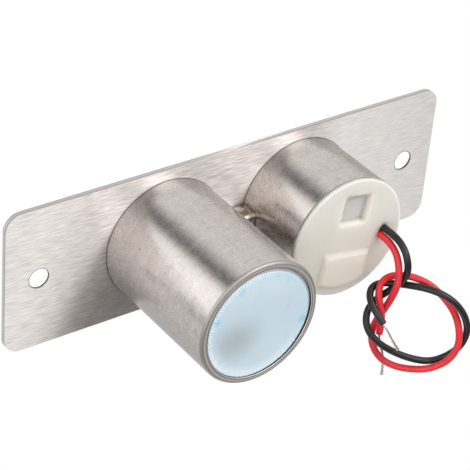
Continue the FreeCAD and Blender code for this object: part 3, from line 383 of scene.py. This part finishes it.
def duct_finish():
    """Dented bright plating with warm stains, and painted shade where it meets the plate and the
    housings.
    """
    plating = Finish("duct_plating")
    dents = plating.speckle(plating.place, 430, 2, 0.5)
    stain = plating.speckle(plating.place, 300, 3)
    body = plating.blend(plating.span(stain, 0.46, 0.60), (0.76, 0.72, 0.67), (0.32, 0.26, 0.21))
    # Painted shade: dark where the duct meets the housings and the plate
    from_housing = plating.from_nearer_axis(LONG_TUBE.x, SHORT_TUBE.x)
    level = plating.axes(plating.place)["Y"]
    painted_seam_shade = plating.math("MAXIMUM", plating.span(from_housing, *DUCT_BY_HOUSING_RADIUS),
                        plating.span(level, *DUCT_BY_PLATE))
    plating.colour(plating.blend(plating.both(painted_seam_shade, 0.7), body, (0.06, 0.05, 0.045)))
    plating.set(Metallic=1.0)
    plating.rough(plating.span(dents, 0.3, 0.7, 0.36, 0.50))
    plating.relief(dents, 0.5, 0.0004)
    return plating.material


def moulded_finish(name, tone, rough=0.5):
    """Plain moulded plastic with a faint drift of tone and a fine satin grain."""
    plastic = Finish(name)
    drift = plastic.speckle(plastic.place, 60, 3)
    fine = plastic.speckle(plastic.place, 900, 3)
    body = plastic.blend(plastic.span(drift, 0.35, 0.65), shade(tone, 0.93), shade(tone, 1.05))
    plastic.colour(body)
    plastic.rough(plastic.span(fine, 0.3, 0.7, rough - 0.06, rough + 0.06))
    plastic.relief(fine, 0.2, 0.00002)
    return plastic.material


def plug_finish():
    """Cream plastic that light sinks into a little, with painted shade lower down and below its
    face, and a greyer floor in its window recess."""
    plastic = Finish("plug_cream")
    tone = (0.815, 0.77, 0.67)
    drift = plastic.speckle(plastic.place, 55, 3)
    fine = plastic.speckle(plastic.place, 1100, 3)
    body = plastic.blend(plastic.span(drift, 0.35, 0.65), shade(tone, 0.97), shade(tone, 1.02))
    along = plastic.axes(plastic.place)
    level = along["Y"]
    # Painted shade: darker lower down the plug
    body = plastic.blend(plastic.span(along["Z"], 0.010, -0.012), body, shade(tone, 0.86))
    # Painted shade: darker on the flange below the plug's face
    _, radius = plastic.from_axis(SHORT_TUBE.x, 0)
    painted_shade_below_face = plastic.both(plastic.span(level, *PLUG_BELOW_FACE),
                              plastic.span(radius, *PLUG_BELOW_FACE_RADIUS))
    body = plastic.blend(painted_shade_below_face, body, shade(tone, 0.84))
    floor = plastic.both(plastic.span(level, *WINDOW_FLOOR_OUTER),
                         plastic.span(level, *WINDOW_FLOOR_INNER))
    plastic.colour(plastic.blend(plastic.both(floor, 0.85), body, (0.83, 0.82, 0.755)))
    plastic.rough(plastic.span(fine, 0.3, 0.7, 0.56, 0.64))
    plastic.relief(fine, 0.12, 0.00002, edge=0.0009)
    plastic.set(Subsurface_Weight=1.0, Subsurface_Scale=0.008, Specular_IOR_Level=0.25)
    plastic.shader.inputs["Subsurface Radius"].default_value = (1.0, 1.0, 0.95)
    return plastic.material


# Places on the film, across and up from the housing's axis, where its blue gathers, with
# their sizes and strengths
FILM_SPOTS = (
    (-0.0139, 0.0052, 0.0014, 1.0), (0.0147, -0.0037, 0.0013, 0.8),
    (0.0086, 0.0117, 0.0012, 0.3), (0.0048, 0.0136, 0.0008, 0.3),
    (-0.0068, 0.0122, 0.0012, 0.4), (-0.0143, -0.0040, 0.0010, 0.5),
)

# How many creases the film's edge has all round, and the sides on which the creases and the
# paler part show most, in radians from +X towards +Z
FILM_CREASES = 130
CREASED_SIDE = 2.6
PALER_SIDE = -1.75


def film_finish():
    """Pale blue film: creased and whiter at its edge, with painted light towards the top and a
    painted grey reflection inside, bluer in a few places.
    """
    film = Finish("film_blue")
    across, radius = film.from_axis(FILM_CENTRE.x, FILM_CENTRE.z)
    sides = film.axes(across)
    angle = film.math("ARCTAN2", sides["Z"], sides["X"])
    wander = film.speckle(film.mapped(scale=(420, 1, 420), source=across), 1, 2)
    unsteady = film.math("SUBTRACT", wander, 0.5)
    phase = film.math("MULTIPLY_ADD", angle, FILM_CREASES, film.both(wander, 9))
    teeth = film.span(film.math("SINE", phase), -0.2, 0.9, smooth=True)
    reach = film.math("ADD", radius, film.both(unsteady, 0.0016))
    creased = film.math("COSINE", film.math("ADD", angle, -CREASED_SIDE))
    creased = film.both(film.span(creased, 0.05, 0.6, smooth=True),
                        film.span(reach, 0.0147, 0.0152))
    ticks = film.both(teeth, creased)
    paler = film.math("COSINE", film.math("ADD", angle, -PALER_SIDE))
    paler = film.both(film.span(paler, 0.0, 0.8, smooth=True),
                      film.span(reach, 0.0120, 0.0160, smooth=True))
    cloud = film.speckle(film.place, 60, 3)
    broad = film.speckle(film.place, 110, 3)
    body = film.blend(film.span(cloud, 0.25, 0.75), (0.52, 0.645, 0.725), (0.56, 0.685, 0.775))
    # Painted light: lighter towards the top of the film
    painted_light_upper = film.span(sides["Z"], 0.004, 0.015, 0, 0.6, smooth=True)
    body = film.blend(painted_light_upper, body, (0.65, 0.775, 0.86))
    # Painted reflection: a grey patch left of the film's middle
    _, from_painted_reflection = film.from_axis(LONG_TUBE.x - 0.0074, -0.0034, scale=(0.8, 0, 1))
    painted_reflection = film.span(from_painted_reflection, 0.0095, 0.0005, 0, 0.95, smooth=True)
    body = film.blend(painted_reflection, body, (0.41, 0.47, 0.50))
    rim = film.both(film.span(radius, 0.0140, 0.0165, smooth=True), film.span(broad, 0.3, 0.7))
    body = film.blend(film.both(rim, 0.5), body, (0.42, 0.74, 0.92))
    for x, z, size, strength in FILM_SPOTS:
        _, away = film.from_axis(LONG_TUBE.x + x, z)
        torn = film.math("ADD", away, film.both(unsteady, 0.0030))
        spot = film.span(torn, size * 1.5, size * 0.3, 0, 0.9 * strength, smooth=True)
        body = film.blend(spot, body, (0.24, 0.60, 0.80))
    body = film.blend(film.both(paler, 0.6), body, (0.78, 0.87, 0.93))
    film.colour(film.blend(film.both(ticks, 0.75), body, (0.93, 0.98, 1.0)))
    film.rough(film.span(cloud, 0.3, 0.7, 0.26, 0.34))
    film.set(Metallic=0.0, Coat_Weight=0.25, Coat_Roughness=0.15)
    film.relief(ticks, 0.3, 0.00006)
    return film.material


def lead_finish(name, tone):
    """Smooth vinyl insulation, slightly uneven, with faint rub marks."""
    vinyl = Finish(name)
    drift = vinyl.speckle(vinyl.place, 120, 3)
    fine = vinyl.speckle(vinyl.place, 1500, 3)
    vinyl.colour(vinyl.blend(vinyl.span(drift, 0.35, 0.65), shade(tone, 0.88), shade(tone, 1.1)))
    vinyl.rough(vinyl.span(fine, 0.3, 0.7, 0.34, 0.46))
    vinyl.relief(fine, 0.15, 0.00002)
    return vinyl.material


def board_finish():
    """Green solder mask over faint tracks."""
    mask = Finish("board_mask")
    tracks = mask.add("ShaderNodeTexBrick")
    tracks.inputs["Scale"].default_value = 420
    tracks.inputs["Mortar Size"].default_value = 0.035
    mask.link(mask.mapped(rotation=(math.radians(90), 0, 0)), tracks.inputs["Vector"])
    mask.colour(mask.blend(tracks.outputs["Fac"], (0.012, 0.11, 0.045), (0.03, 0.20, 0.08)))
    mask.rough(mask.span(mask.speckle(mask.place, 700), 0.3, 0.7, 0.3, 0.4))
    mask.relief(tracks.outputs["Fac"], 0.3, 0.00003)
    return mask.material


def winding_finish():
    """Enamelled copper wire in close turns."""
    copper = Finish("winding_copper")
    wave = copper.add("ShaderNodeTexWave", bands_direction="Y")
    wave.inputs["Scale"].default_value = 700
    wave.inputs["Distortion"].default_value = 0.6
    copper.link(copper.place, wave.inputs["Vector"])
    copper.colour(copper.blend(wave.outputs["Fac"], (0.28, 0.10, 0.04), (0.62, 0.26, 0.11)))
    copper.set(Metallic=1.0)
    copper.rough(copper.span(wave.outputs["Fac"], 0, 1, 0.42, 0.26))
    copper.relief(wave.outputs["Fac"], 0.6, 0.0001)
    return copper.material


def glass_finish():
    """Clear, faintly green glass with fine streaks along the tube."""
    glass = Finish("reed_glass")
    streak = glass.speckle(glass.mapped(scale=(80, 900, 900)), 1, 2)
    glass.colour(glass.blend(streak, (0.72, 0.80, 0.76), (0.86, 0.90, 0.88)))
    glass.rough(glass.span(streak, 0.3, 0.7, 0.05, 0.10))
    glass.set(Transmission_Weight=0.8, IOR=1.48)
    return glass.material


# Pieces

def new_piece(name, data, material, body="housing"):
    """Puts a mesh or curve into the scene with its finish, fixed to one body of the lock."""
    piece = bpy.data.objects.new(name, data)
    bpy.context.scene.collection.objects.link(piece)
    data.materials.append(material)
    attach(piece, body)
    return piece


def mesh_piece(name, work, material):
    """Makes a finished bmesh into a smooth-shaded piece."""
    bmesh.ops.recalc_face_normals(work, faces=work.faces)
    data = bpy.data.meshes.new(name)
    work.to_mesh(data)
    work.free()
    data.shade_smooth()
    return new_piece(name, data, material)


def nurbs_path(name, route):
    """A curve whose one NURBS spline has the route's points as its control points."""
    data = bpy.data.curves.new(name, "CURVE")
    data.dimensions = "3D"
    data.resolution_u = 8
    spline = data.splines.new("NURBS")
    spline.points.add(len(route) - 1)
    for point, place in zip(spline.points, route):
        point.co = (*place, 1)
    spline.order_u = 3
    spline.use_endpoint_u = True
    return data


def read_path(data):
    """The points along a NURBS route, as Blender's own evaluation gives them."""
    carrier = bpy.data.objects.new("route_reader", data)
    mesh = bpy.data.meshes.new_from_object(carrier)
    places = [vertex.co.copy() for vertex in mesh.vertices]
    bpy.data.meshes.remove(mesh)
    bpy.data.objects.remove(carrier)
    return places


def lead(colour, route, material):
    """One free supply lead, with its bare strands going on from its end."""
    data = nurbs_path("lead_" + colour, route)
    data.bevel_depth = LEAD_DIAMETER / 2
    data.bevel_resolution = 6
    data.use_fill_caps = True
    piece = new_piece("lead_" + colour, data, material)
    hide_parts("supply_lead_" + colour)


def strand_bundle(colour, route, material, turns, seed):
    """Tinned strands that lie twisted round each other and part a little at the tip."""
    bundle_radius, wander, parting, parts_from = 0.00026, 0.00006, 0.00016, 0.75
    places = read_path(nurbs_path("strand_reader", route))
    data = bpy.data.curves.new("strands_" + colour, "CURVE")
    data.dimensions = "3D"
    data.bevel_depth = STRAND_DIAMETER / 2
    data.bevel_resolution = 3
    data.use_fill_caps = True
    last = len(places) - 1
    for number in range(STRANDS):
        spline = data.splines.new("NURBS")
        spline.points.add(last)
        for index, place in enumerate(places):
            share = index / last
            along = (places[min(index + 1, last)] - places[max(index - 1, 0)]).normalized()
            side = along.cross(Vector((0, 1, 0))).normalized()
            lift = along.cross(side)
            turn = 2 * math.pi * (number / STRANDS + turns * share)
            drift = noise.noise(Vector((number * 3.1, share * 6, seed)))
            reach = bundle_radius + wander * drift
            if share > parts_from:
                apart = 0.5 + 0.5 * math.sin(number * 2.3 + seed)
                reach += parting * (share - parts_from) / (1 - parts_from) * apart
            away = side * (math.cos(turn) * reach) + lift * (math.sin(turn) * reach)
            spline.points[index].co = (*(place + away), 1)
        spline.order_u = 3
        spline.use_endpoint_u = True
    piece = new_piece("strands_" + colour, data, material)
    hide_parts("bare_strands_" + colour)
    return piece


def protective_film(material):
    """Thin disc of film, flat in the middle and puckered into small radial creases at its edge."""
    rings, spokes = 34, 720
    crease_start, start_varies, crease_height = 0.0146, 0.0010, 0.00009
    work = bmesh.new()
    middle = FILM_CENTRE - Vector((0, FILM_THICKNESS, 0))
    points = [work.verts.new(middle + Vector((FILM_EDGE * (ring / rings) ** 0.8, 0, 0)))
              for ring in range(rings + 1)]
    edges = [work.edges.new(pair) for pair in zip(points, points[1:])]
    bmesh.ops.spin(work, geom=points + edges, cent=FILM_CENTRE, axis=(0, 1, 0),
                   angle=2 * math.pi, steps=spokes, use_merge=True, use_duplicate=False)
    bmesh.ops.remove_doubles(work, verts=work.verts, dist=1e-7)
    for vertex in work.verts:
        away = vertex.co - middle
        radius = away.length
        if radius < 1e-6:
            continue
        heading = away / radius
        patch = noise.noise(Vector((heading.x * 2.2, 0, heading.z * 2.2)) + Vector((3, 0, 0)))
        start = crease_start - start_varies * patch
        share = max(0.0, (radius - start) / (FILM_EDGE - start))
        crease = noise.noise(Vector((heading.x * 30, 0, heading.z * 30)))
        vertex.co.y -= crease_height * share * (0.6 + crease) * (0.8 + patch)
    piece = mesh_piece("film", work, material)
    wall = piece.modifiers.new("thickness", "SOLIDIFY")
    wall.thickness = FILM_THICKNESS
    wall.offset = 0
    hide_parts("cap_film")


def coil_spring(material):
    """Round wire in open turns, the end turns closed up."""
    front = Vector((-0.023, -0.00485, 0))
    length = 0.01375
    radius = 0.00755
    wire_radius = 0.00034
    turns = 6.5
    steps = 48
    closed_up = 0.35
    data = bpy.data.curves.new("spring_coil", "CURVE")
    data.dimensions = "3D"
    data.resolution_u = 2
    data.bevel_depth = wire_radius
    data.bevel_resolution = 4
    data.use_fill_caps = True
    spline = data.splines.new("NURBS")
    count = int(turns * steps)
    spline.points.add(count)
    for step in range(count + 1):
        share = step / count
        eased = 0.5 - 0.5 * math.cos(math.pi * share)
        rise = closed_up * eased + (1 - closed_up) * share
        turn = 2 * math.pi * turns * share
        place = front + Vector((radius * math.cos(turn), -length * rise, radius * math.sin(turn)))
        spline.points[step].co = (*place, 1)
    spline.order_u = 3
    spline.use_endpoint_u = True
    carrier = bpy.data.objects.new("spring_carrier", data)
    mesh = bpy.data.meshes.new_from_object(carrier)
    bpy.data.objects.remove(carrier)
    mesh.name = "spring_coil"
    piece = new_piece("spring_coil", mesh, material)
    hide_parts("return_spring")
    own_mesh(piece)


# Studio

def add_floor():
    """Pale floor far under the lock, which looks white."""
    reach, level = 0.4, -0.8
    work = bmesh.new()
    bmesh.ops.create_grid(work, x_segments=2, y_segments=2, size=reach)
    bmesh.ops.translate(work, verts=work.verts, vec=(0, 0, level))
    data = bpy.data.meshes.new("floor")
    work.to_mesh(data)
    work.free()
    floor = bpy.data.objects.new("floor", data)
    bpy.context.scene.collection.objects.link(floor)
    paper = Finish("floor_paper")
    drift = paper.speckle(paper.place, 3)
    paper.colour(paper.blend(drift, (0.86, 0.86, 0.86), (0.90, 0.90, 0.90)))
    paper.set(Roughness=0.9, Specular_IOR_Level=0.1)
    ray = paper.add("ShaderNodeLightPath").outputs
    seen = paper.math("MAXIMUM", ray["Is Camera Ray"], ray["Is Glossy Ray"])
    seen = paper.math("MAXIMUM", seen, ray["Is Transmission Ray"])
    paper.shader.inputs["Emission Color"].default_value = (1, 1, 1, 1)
    paper.link(paper.both(seen, 0.35), paper.shader.inputs["Emission Strength"])
    data.materials.append(paper.material)


# How bright the studio is round the lock's long axis, in degrees from straight up towards +X:
# in front of the face plate, which the housings show, and behind it, which the plate shows
FRONT_BANDS = (
    (-180, 0.56), (-150, 0.64), (-122, 0.76), (-112, 0.78), (-103, 0.52), (-93, 0.70),
    (-85, 1.20), (-72, 1.50), (-48, 1.38), (-40, 1.00), (-30, 0.12), (-20, 0.14),
    (-12, 0.42), (-2, 0.84), (8, 0.90), (25, 0.86), (60, 0.84), (80, 0.72),
    (95, 0.55), (107, 0.50), (120, 0.55), (140, 0.60), (180, 0.56),
)
REAR_BANDS = (
    (-180, 0.20), (-145, 0.22), (-122, 0.60), (-110, 0.75), (-102, 0.60), (-92, 1.30),
    (-80, 2.40), (-60, 2.60), (-46, 2.30), (-36, 0.60), (-28, 0.15), (-15, 0.15),
    (-6, 0.60), (6, 1.05), (50, 1.05), (80, 0.90), (105, 0.40), (135, 0.25), (180, 0.25),
)
BRIGHTEST = 2.6

# How far a direction points forwards, along +Y, where the front bands begin and where they
# have fully taken over from the rear ones
FRONT_BEGINS = -0.15
FRONT_ALONE = 0.25


def band_ramp(tree, share, bands):
    """The bands' brightness, as a share of the brightest, for a share of the turn."""
    ramp = tree.nodes.new("ShaderNodeValToRGB")
    stops = ramp.color_ramp.elements
    while len(stops) < len(bands):
        stops.new(0.5)
    for stop, (degrees, level) in zip(stops, bands):
        share_of_brightest = level / BRIGHTEST
        stop.position = (degrees + 180) / 360
        stop.color = (share_of_brightest, share_of_brightest, share_of_brightest, 1)
    tree.links.new(share, ramp.inputs["Fac"])
    return ramp.outputs["Color"]


def add_studio_world():
    """White to the camera; to the lock a studio with bright panels and dark gaps between them."""
    world = bpy.data.worlds.new("studio")
    bpy.context.scene.world = world
    world.use_nodes = True
    tree = world.node_tree
    tree.nodes.clear()
    add = tree.nodes.new
    link = tree.links.new
    axes = add("ShaderNodeSeparateXYZ")
    link(add("ShaderNodeTexCoord").outputs["Generated"], axes.inputs[0])
    angle = add("ShaderNodeMath")
    angle.operation = "ARCTAN2"
    link(axes.outputs["X"], angle.inputs[0])
    link(axes.outputs["Z"], angle.inputs[1])
    share = add("ShaderNodeMapRange")
    share.inputs["From Min"].default_value = -math.pi
    share.inputs["From Max"].default_value = math.pi
    link(angle.outputs[0], share.inputs["Value"])
    forwards = add("ShaderNodeMapRange")
    forwards.interpolation_type = "SMOOTHSTEP"
    forwards.inputs["From Min"].default_value = FRONT_BEGINS
    forwards.inputs["From Max"].default_value = FRONT_ALONE
    link(axes.outputs["Y"], forwards.inputs["Value"])
    mix = add("ShaderNodeMix")
    mix.data_type = "FLOAT"
    link(forwards.outputs["Result"], mix.inputs[0])
    link(band_ramp(tree, share.outputs["Result"], REAR_BANDS), mix.inputs[2])
    link(band_ramp(tree, share.outputs["Result"], FRONT_BANDS), mix.inputs[3])
    level = add("ShaderNodeMath")
    level.operation = "MULTIPLY"
    level.inputs[1].default_value = BRIGHTEST
    link(mix.outputs[0], level.inputs[0])
    studio = add("ShaderNodeBackground")
    link(level.outputs[0], studio.inputs["Strength"])
    studio.inputs["Color"].default_value = (1.0, 0.985, 0.97, 1)
    white = add("ShaderNodeBackground")
    white.inputs["Color"].default_value = (1, 1, 1, 1)
    ray = add("ShaderNodeLightPath")
    chosen = add("ShaderNodeMixShader")
    link(ray.outputs["Is Camera Ray"], chosen.inputs["Fac"])
    link(studio.outputs[0], chosen.inputs[1])
    link(white.outputs[0], chosen.inputs[2])
    link(chosen.outputs[0], add("ShaderNodeOutputWorld").inputs["Surface"])


def add_lamp(name, place, aim, size, power):
    """A square soft lamp, turned towards the place that it lights."""
    data = bpy.data.lights.new(name, "AREA")
    data.size = size
    data.energy = power
    lamp = bpy.data.objects.new(name, data)
    bpy.context.scene.collection.objects.link(lamp)
    direction = Vector(aim) - Vector(place)
    turn = direction.to_track_quat("-Z", "Y").to_matrix().to_4x4()
    lamp.matrix_world = Matrix.Translation(place) @ turn


# The lock

add_camera()
add_studio_world()
add_floor()
add_lamp("key", place=(0.50, -0.80, 0.92), aim=(0, 0, 0), size=0.8, power=8.5)

red_vinyl = lead_finish("lead_red_vinyl", (0.70, 0.022, 0.034))
black_vinyl = lead_finish("lead_black_vinyl", (0.008, 0.008, 0.009))
tin = turned_finish("tinned_copper", (0.80, 0.79, 0.78), 0.18, 0.30)

red_strands = strand_bundle("red", RED_STRANDS, tin, turns=3.2, seed=1.0)
black_strands = strand_bundle("black", BLACK_STRANDS, tin, turns=2.4, seed=4.0)
lead("red", RED_ROUTE, red_vinyl)
lead("black", BLACK_ROUTE, black_vinyl)
protective_film(film_finish())

spring_steel = turned_finish("spring_wire", (0.34, 0.33, 0.32), 0.25, 0.35)
coil_spring(spring_steel)

bright_steel = turned_finish("bright_steel", (0.62, 0.60, 0.58), 0.18, 0.30)
soft_iron = turned_finish("soft_iron", (0.34, 0.33, 0.32), 0.34, 0.48)
brass = turned_finish("turned_brass", (0.62, 0.42, 0.15), 0.20, 0.32)
dark_plastic = moulded_finish("dark_moulding", (0.035, 0.035, 0.038))
black_plastic = moulded_finish("black_moulding", (0.012, 0.012, 0.013), rough=0.42)

# The CAD pieces that are shown as they are, each with its finish
CARRIED_OVER = {
    "face_plate": plate_finish(),
    "long_tube": housing_finish("long_housing_steel", LONG_TUBE, LONG_TUBE_END),
    "short_tube": housing_finish("short_housing_steel", SHORT_TUBE, SHORT_TUBE_END),
    "rear_cap": turned_finish("cap_steel", (0.72, 0.71, 0.74), 0.42, 0.52, metal_share=0.5),
    "end_plug": plug_finish(),
    "link_duct": duct_finish(),
    "guide_bush": brass,
    "bolt": bright_steel,
    "plunger": soft_iron,
    "cross_pin": bright_steel,
    "retaining_ring": spring_steel,
    "stop_washer": bright_steel,
    "spacer_sleeve": dark_plastic,
    "front_pole_plate": soft_iron,
    "solenoid_can": soft_iron,
    "fixed_core": soft_iron,
    "core_buffer": moulded_finish("buffer_rubber", (0.010, 0.010, 0.010), rough=0.75),
    "guide_sleeve": brass,
    "coil_bobbin": dark_plastic,
    "coil_winding": winding_finish(),
    "coil_tape": moulded_finish("coil_tape_yellow", (0.58, 0.36, 0.03), rough=0.3),
    "coil_lead_red": red_vinyl,
    "coil_lead_black": black_vinyl,
    "control_board": board_finish(),
    "board_screws": bright_steel,
    "driver_relay": moulded_finish("relay_blue", (0.02, 0.07, 0.26), rough=0.3),
    "smoothing_capacitor": moulded_finish("capacitor_sleeve", (0.012, 0.016, 0.05), rough=0.3),
    "timer_chip": black_plastic,
    "flyback_diode": black_plastic,
    "reed_switch": glass_finish(),
    "inner_lead_red": red_vinyl,
    "inner_lead_black": black_vinyl,
    "solder_joints": tin,
}
for name, finish in CARRIED_OVER.items():
    nodes[name].material_slots[0].material = finish

bpy.context.scene.view_settings.view_transform = "Standard"
